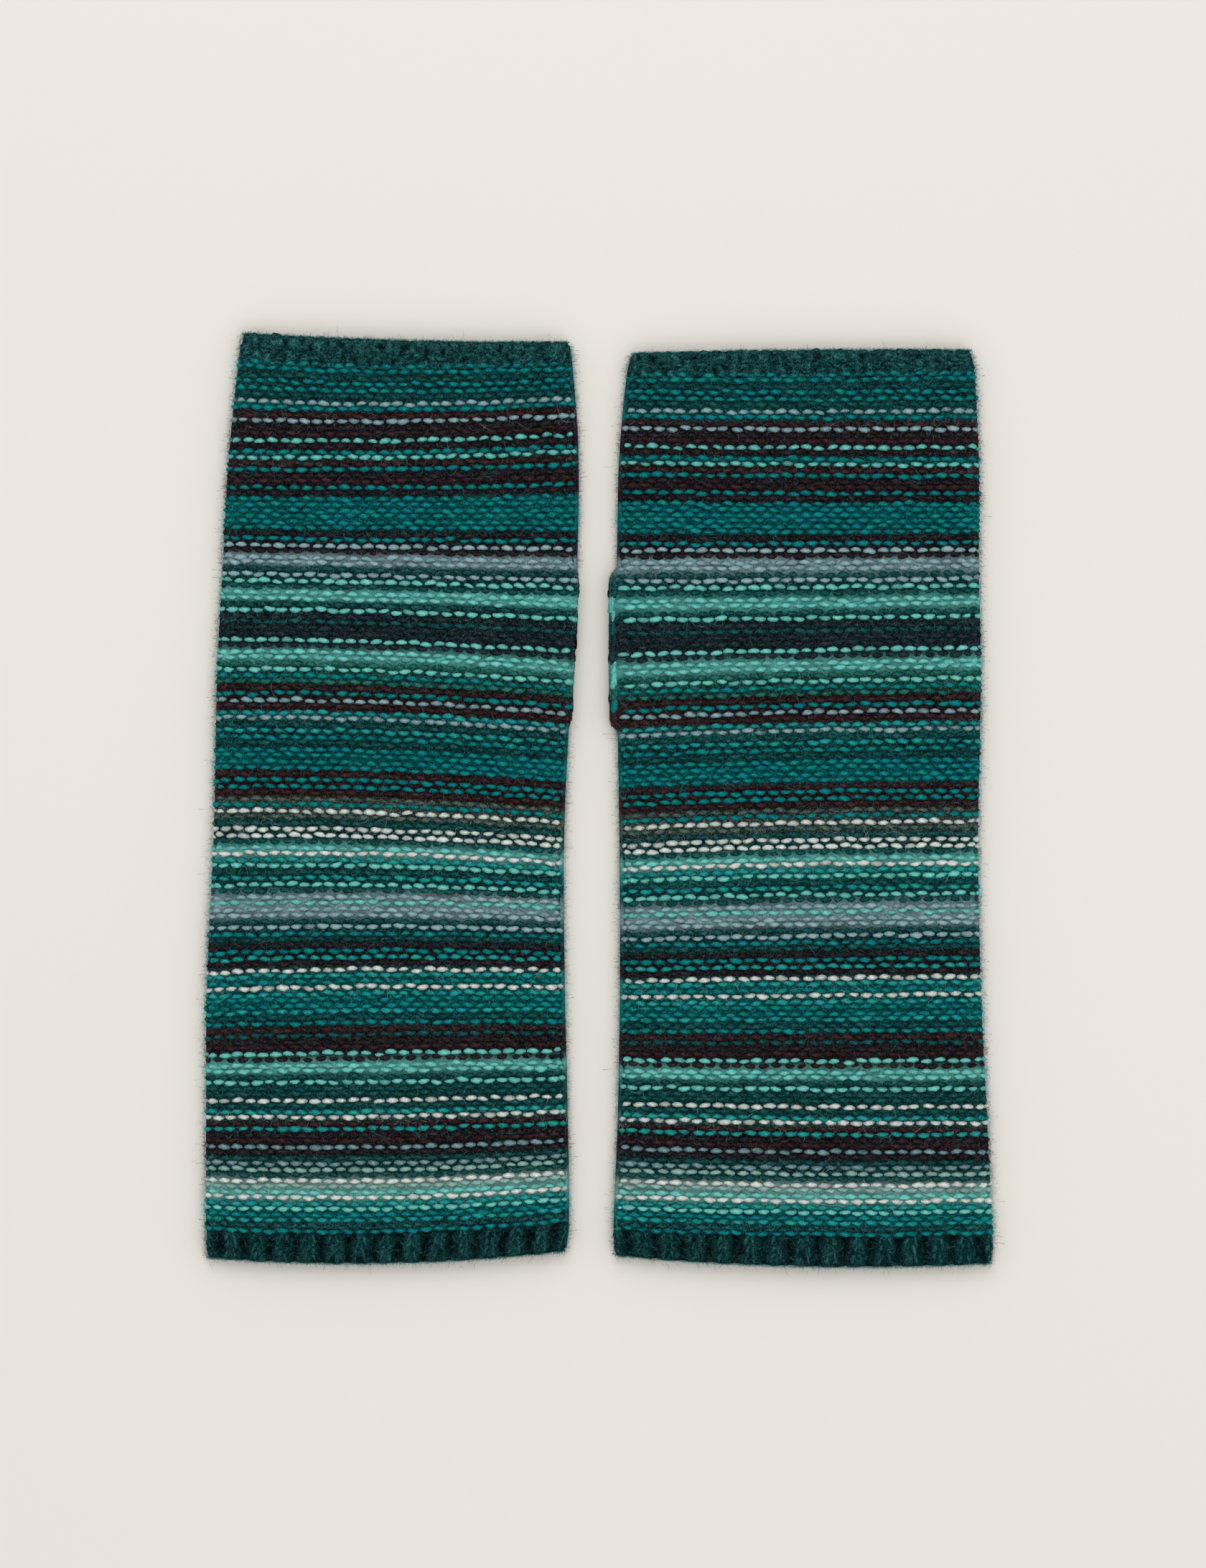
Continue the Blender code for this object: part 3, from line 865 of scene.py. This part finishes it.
def endWallMesh(name, mitten, edge, joined, look):
    towards = 1 if edge > joined else -1
    wall, pitch = cloth["wall"], cloth["pitch"]
    roundness = wall / 2 / pitch
    turn = np.linspace(0, math.pi, endWall["rimSteps"])[1:-1]
    start, end = joined + towards * endWall["gap"], edge - towards * roundness
    long = np.linspace(start, end, endWall["longSteps"])
    rimCourse = edge - towards * roundness * (1 - np.sin(turn))
    course = np.concatenate([long, rimCourse, long[::-1]])
    inward = np.concatenate([0 * long, (1 - np.cos(turn)) / 2, 0 * long + 1])
    number = len(course)

    def profile(acrossShare, profileShare):
        # wale, course, share of the way in, how near the edge, how deep in a valley, how far on top
        step = np.rint(profileShare * (number - 1)).astype(int)
        wale = (acrossShare * 2 - 1) * cloth["walesAcross"]
        near = ease(1 - np.abs(course[step] - edge) / look["rolled"])
        reach = endWall["underReach"]
        upper = ease((np.minimum(wale + reach, cloth["walesAcross"] + reach - wale)) / reach)
        wave = np.cos(2 * math.pi * (wale - look["ridgeAt"]) / look["ribEvery"])
        valley = upper * ((1 - wave) / 2) ** look["sharp"] * (1 - look["fade"] * near)
        return wale, course[step], inward[step], near, valley, upper

    def place(acrossShare, profileShare):
        wale, c, deep, near, valley, upper = profile(acrossShare, profileShare)
        rng = dice(mitten, 40)
        felted = lumps(rng, wale, c)
        outer = endWall["under"] + (look["below"] - endWall["under"]) * upper
        outer = outer + look["valley"] * valley - look["lumps"] * felted * upper
        thin = endWall["thin"] * ease(1 - np.minimum(np.abs(c - edge) * pitch / endWall["thinLong"], 1))
        depth = (outer + thin) * (1 - deep) + (wall - endWall["inner"] - thin) * deep
        wavy = look["edgeWave"] * (0.5 - valley)
        ragged = near * (wavy + look["ragged"] * lumps(rng, wale, 0 * c))
        return clothPoint(mitten, c + towards * ragged, wale, depth)

    acrossSteps = 2 * cloth["walesAcross"] * endWall["perWale"]
    mesh, shares = layGrid(name, acrossSteps, number - 1, place, endWall["laid"])
    wale, c, _, near, valley, _ = profile(shares[:, 0], shares[:, 1])
    felted = lumps(dice(mitten, 41), wale, c)
    mottled = np.clip(1 + look["mottled"] * felted, 0.2, 2)
    # painted shade, deeper in the valleys between the ribs
    shade = (look["shade"] * mottled * (1 - look["valleyShade"] * valley))[:, None]
    # lighter towards the rolled edge: its lighter fuzz, and a painted highlight where it rounds over
    lighter = (look["edgeFuzzAndHighlight"] * near)[:, None]
    base, light, dark = yarnTones[bottleNumber]
    wool, pale = (base + (light - base) * lighter) * shade, light * shade * look["fibreShade"]
    paintPoints(mesh, {"wool": wool, "lightFibre": pale, "darkFibre": dark * shade})
    faceOutwards(mesh, close=True)
    return placed(name, mesh)


wristRib = {
    "below": 0.5,
    "drawnIn": 0.15,  # courses that the edge lies short of the solid's
    "ribEvery": 2,  # wales
    "ridgeAt": 0.5,
    "sharp": 3,  # valleys narrower than ridges
    "dim": 0.35,  # how much duller its yarn looks
    "valley": 1.0,  # how far they lie back
    "fade": 0.3,  # how much shallower they are at the edge
    "valleyShade": 0.85,
    "shade": 0.42,
    "fibreShade": 0.7,
    "rolled": 0.7,  # courses that the edge rounds over
    "edgeWave": 0.12,
    "ragged": 0.05,
    "edgeFuzzAndHighlight": 0.1,
    "lumps": 0.2,
    "mottled": 0.8,
    "radius": 0.6,
    "stand": 0.0,
    "long": 1.0,  # courses that an upright stitch leg takes
    "lean": 0.15,  # wales that it leans over
    "apart": 0.25,  # wales from the middle of its ridge
    "dive": 0.55,
    "slim": 0.4,
    "endShade": 0.4,
    "underShade": 0.7,
    "lumpy": 0.2,
    "steps": arcSteps,
    "sides": 5,
    "rows": (-1.4, -0.75, -0.1),
    "uneven": {"wale": 0.08, "course": 0.07, "tilt": 0.03, "depth": 0.14, "size": 0.14, "tone": 0.4},
}


def legs(mitten, course, wale, lean, rng, look):  # the upright halves of plain stitches
    share, spread, radius = unevenArcs(rng, look, len(course))
    waleAt = wale[:, None] + spread["wale"] + lean[:, None] * share
    courseAt = course[:, None] + spread["course"] + look["long"] / 2 * share
    depth = look["radius"] - look["stand"] + spread["depth"] + look["dive"] * share**2
    paths = clothPoint(mitten, courseAt, waleAt, depth)
    return paths, clothNormal(mitten, courseAt, waleAt), radius, spread["tone"]


def ribPiece(mitten):
    side = mitten["side"]
    edge = cloth["wristEdge"] + wristRib["drawnIn"]
    wall = endWallMesh(side + "_wrist_rib_cloth", mitten, edge, cloth["ribTop"], wristRib)
    finishPiece(wall, ribFelt, [side + "_wrist_rib"])
    rng = dice(mitten, 500)
    every = wristRib["ribEvery"]
    ridges = np.arange(wristRib["ridgeAt"] - every, cloth["walesAcross"] + every, every)
    wale, row, way = (grid.ravel() for grid in np.meshgrid(ridges, wristRib["rows"], (-1, 1)))
    wale, lean = wale + way * wristRib["apart"], -way * wristRib["lean"]
    upright = [legs(mitten, row, wale, lean, rng, wristRib)]
    return wall, bottlePiece(side + "_rib_stitches", upright, wristRib)


fingerBand = {
    "below": 0.5,
    "drawnIn": 0.1,
    "ribEvery": 1,
    "ridgeAt": 0.0,
    "sharp": 2,
    "dim": 0.5,
    "valley": 0.35,
    "fade": 1.0,
    "valleyShade": 0.45,
    "shade": 0.3,
    "fibreShade": 2.2,
    "rolled": 1.4,
    "edgeWave": 0.0,
    "ragged": 0.05,
    "edgeFuzzAndHighlight": 0.45,
    "lumps": 0.25,
    "mottled": 1.5,
    "radius": 0.7,
    "stand": 0.08,
    "long": 0.88,
    "slim": 0.55,
    "curl": 0.2,
    "dive": 0.9,
    "endShade": 0.45,
    "underShade": 0.7,
    "lumpy": 0.2,
    "steps": arcSteps,
    "sides": 5,
    "rows": ((73.05, 0.0, 1), (73.55, 0.5, -1), (74.05, 0.0, 1), (74.55, 0.5, -1)),
    "uneven": {"wale": 0.09, "course": 0.1, "tilt": 0.1, "depth": 0.2, "size": 0.16, "tone": 0.55},
}
castOff = {"row": 75.3, "up": -0.3, "deeper": 0.3, "long": 1.1, "radius": 0.85, "dive": 0.7}


def bandPiece(mitten):
    side = mitten["side"]
    edge = cloth["fingerEdge"] - fingerBand["drawnIn"]
    wall = endWallMesh(side + "_finger_band_cloth", mitten, edge, cloth["bandFoot"], fingerBand)
    finishPiece(wall, bandFelt, [side + "_finger_band"])
    rng = dice(mitten, 600)
    feet = np.arange(-2.5, cloth["walesAcross"] + 2.5)
    arcs = [
        loopArcs(mitten, np.full(len(feet), row), feet + shift, up, rng, fingerBand)
        for row, shift, up in fingerBand["rows"]
    ]
    around = np.arange(-cloth["walesAcross"] + 0.5, cloth["walesAcross"], 1.0)  # the cast-off edge
    calm = {key: amount / 2 for key, amount in fingerBand["uneven"].items()}
    look = {**fingerBand, **castOff, "uneven": calm}
    row = np.full(len(around), castOff["row"])
    arcs.append(loopArcs(mitten, row, around, castOff["up"], rng, look, castOff["deeper"]))
    return wall, bottlePiece(side + "_band_stitches", arcs, fingerBand)


# Fuzz: wool hairs that the felting raised, rooted in the cloth and lying over it

shortHair = dict(long=2.2, thick=0.036, points=3, lift=0.3, turn=0.5, wander=0.5, light=0.2)
curlyHair = dict(long=6.0, thick=0.024, points=8, lift=0.4, turn=0.5, wander=0.45, light=0.3)
sideHair = dict(long=0.9, thick=0.034, points=3, lift=0.85, turn=0.7, wander=0.6, light=0.7)
rimHair = dict(long=0.75, thick=0.03, points=3, lift=0.25, turn=0.3, wander=0.4, light=0.7)
fuzz = {
    "shade": 0.74,
    "paleShade": 0.5,
    "panel": 12500,  # hairs on each mitten
    "curly": 600,
    "sides": 6500,
    "rib": 1400,
    "band": 1500,
    "rim": 5500,  # round each free edge
    "rimOnTop": 0.75,
    "rimIn": 0.04,  # courses that those begin short of the edge
    "rimRoots": (0.3, 2.3),  # from the upper to the lower side of the wall
    "rimFan": 0.6,  # how far they fan out
    "sideSpread": 0.3,  # wales
    "root": 0.3,  # how deep the others begin
    "lowest": 0.06,
    "faces": 3,
    "uneven": {"long": 0.35, "lift": 0.5, "thick": 0.25, "light": 0.3, "course": 0.35},
}


def hairs(mitten, name, kind, course, wale, rng, root=fuzz["root"], heading=None):
    many, points, uneven = len(course), kind["points"], fuzz["uneven"]
    share = np.linspace(0, 1, points)[None, :]
    step = kind["long"] / (points - 1) * np.exp(rng.normal(0, uneven["long"], (many, 1)))
    heading = rng.uniform(0, 2 * math.pi, (many, 1)) if heading is None else heading[:, None]
    turn = rng.normal(0, kind["turn"], (many, 1)) + rng.normal(0, kind["wander"], (many, points - 1))
    angle = heading + np.cumsum(turn, axis=1)
    start = np.zeros((many, 1))
    aside = np.concatenate([start, np.cumsum(step * np.cos(angle), axis=1)], axis=1)
    along = np.concatenate([start, np.cumsum(step * np.sin(angle), axis=1)], axis=1)
    lift = kind["lift"] * np.exp(rng.normal(0, uneven["lift"], (many, 1)))
    depth = root - lift * np.sin(0.75 * math.pi * share)  # up and half way down again
    courseAt = course[:, None] + along / cloth["pitch"]
    waleAt = wale[:, None] + aside / cloth["walePitch"]
    paths = clothPoint(mitten, courseAt, waleAt, depth)
    paths[..., 2] = np.maximum(paths[..., 2], fuzz["lowest"])
    radii = kind["thick"] * np.exp(rng.normal(0, uneven["thick"], (many, 1))) + 0 * waleAt
    lighter = np.clip(rng.normal(kind["light"], uneven["light"], (many, 1, 1)), 0, 1)
    yarn = yarnOf(np.rint(course + backing["early"] + rng.normal(0, uneven["course"], many)))
    shade = np.where(isPale(yarn), fuzz["paleShade"], fuzz["shade"])[:, None, None]
    base, light = (yarnTones[yarn, k][:, None] * shade + 0 * paths for k in range(2))
    tones = {"wool": base + (light - base) * lighter, "lightFibre": light}
    normals = clothNormal(mitten, courseAt, waleAt)
    made = strands(name, paths, normals, radii, fuzz["faces"], tones)
    return finishPiece(made, woolFuzz)


def fuzzPieces(mitten):
    rng = dice(mitten, 700)
    side, across = mitten["side"], cloth["walesAcross"]

    def over(kind, part, many, low, high):
        course, wale = rng.uniform(low, high, many), rng.uniform(-2, across + 2, many)
        return hairs(mitten, f"{side}_{part}_fuzz", kind, course, wale, rng)

    made = [
        over(shortHair, "panel", fuzz["panel"], 0.2, 73.2),
        over(curlyHair, "curly", fuzz["curly"], 0, 74),
        over(shortHair, "rib", fuzz["rib"], -2.0, 0.3),
        over(shortHair, "band", fuzz["band"], 72.9, 75.5),
    ]
    many = fuzz["sides"]
    wale = np.where(rng.random(many) < 0.5, 0, across) + rng.normal(0, fuzz["sideSpread"], many)
    course = rng.uniform(-2, 75.4, many)
    made.append(hairs(mitten, side + "_side_fuzz", sideHair, course, wale, rng))
    many = fuzz["rim"]
    for part, edge, way, slot in (
        ("rib", cloth["wristEdge"] + wristRib["drawnIn"], -1, "green_rib_wool"),
        ("band", cloth["fingerEdge"] - fingerBand["drawnIn"], 1, "green_band_wool"),
    ):
        onTop = rng.random(many) < fuzz["rimOnTop"]
        top, under = rng.uniform(-1.5, across + 1.5, many), rng.uniform(-across, 0, many)
        wale = np.where(onTop, top, under)
        heading = way * math.pi / 2 + rng.normal(0, fuzz["rimFan"], many)
        root = rng.uniform(*fuzz["rimRoots"], (many, 1))
        course, name = np.full(many, edge - way * fuzz["rimIn"]), f"{side}_{part}_rim_fuzz"
        made.append(hairs(mitten, name, rimHair, course, wale, rng, root, heading))
    return made


# Each mitten with all its pieces; the cloth was knitted flat, so the cut is the whole way round

middleRow = cloth["courses"] // 2
triangles = 0
for mitten in mittens:
    side = mitten["side"]
    cover = panelBacking(mitten)
    stitches = [
        panelStitches(mitten, "wrist", 1, middleRow),
        panelStitches(mitten, "finger", middleRow + 1, cloth["courses"]),
        slitChain(mitten),
        seamStitches(mitten),
    ]
    ribWall, ribStitches = ribPiece(mitten)
    bandWall, bandStitches = bandPiece(mitten)
    panelFuzz, curls, ribFuzz, bandFuzz, sideFuzz, ribRim, bandRim = fuzzPieces(mitten)
    pieces = [cover, ribWall, bandWall, ribStitches, bandStitches, *stitches]
    pieces += [panelFuzz, curls, ribFuzz, bandFuzz, sideFuzz, ribRim, bandRim]
    for piece in pieces:
        piece.data.calc_loop_triangles()
        triangles += len(piece.data.loop_triangles)
        print(piece.name, len(piece.data.loop_triangles))
print("mittens made", triangles, "triangles")


# Room: plain pale floor, soft light from the top, camera straight above

room = {
    "floor": (225, 221, 213),
    "floorSize": 6,
    "roughness": 0.9,
    "gloss": 0.5,
    "sky": 0.715,
    "lights": (  # name, place, size, power
        ("keyLight", (-0.2, 0.95, 1.4), 1.2, 9.7),
        ("fillLight", (0.6, -0.7, 1.5), 1.4, 6.3),
    ),
    "lens": 100,
    "sensor": 36,
    "high": 1.249,
    "middle": (0.0011, 0.0045),
}


def makeRoom():
    bpy.ops.mesh.primitive_plane_add(size=room["floorSize"], location=(0, 0, 0))
    floor = bpy.context.object
    floor.name = "floor"
    paper, _, shader = dullMaterial("paleFloor", room["roughness"], room["gloss"])
    shader.inputs["Base Color"].default_value = (*linear(np.array(room["floor"]) / 255), 1)
    floor.data.materials.append(paper)
    world = bpy.data.worlds.new("softSky")
    bpy.context.scene.world = world
    world.use_nodes = True
    sky = world.node_tree.nodes["Background"]
    sky.inputs["Color"].default_value = (1, 1, 1, 1)
    sky.inputs["Strength"].default_value = room["sky"]
    for name, place, size, power in room["lights"]:
        light = bpy.data.lights.new(name, "AREA")
        light.shape = "SQUARE"
        light.size = size
        light.energy = power
        lamp = bpy.data.objects.new(name, light)
        lamp.location = place
        lamp.rotation_euler = (-Vector(place)).to_track_quat("-Z", "Y").to_euler()
        bpy.context.scene.collection.objects.link(lamp)
    camera = bpy.data.cameras.new("camera")
    camera.lens = room["lens"]
    camera.sensor_width = room["sensor"]
    seen = bpy.data.objects.new("camera", camera)
    seen.location = (*room["middle"], room["high"])
    bpy.context.scene.collection.objects.link(seen)
    bpy.context.scene.camera = seen
    bpy.context.scene.view_settings.view_transform = "Standard"


makeRoom()
print("room made")
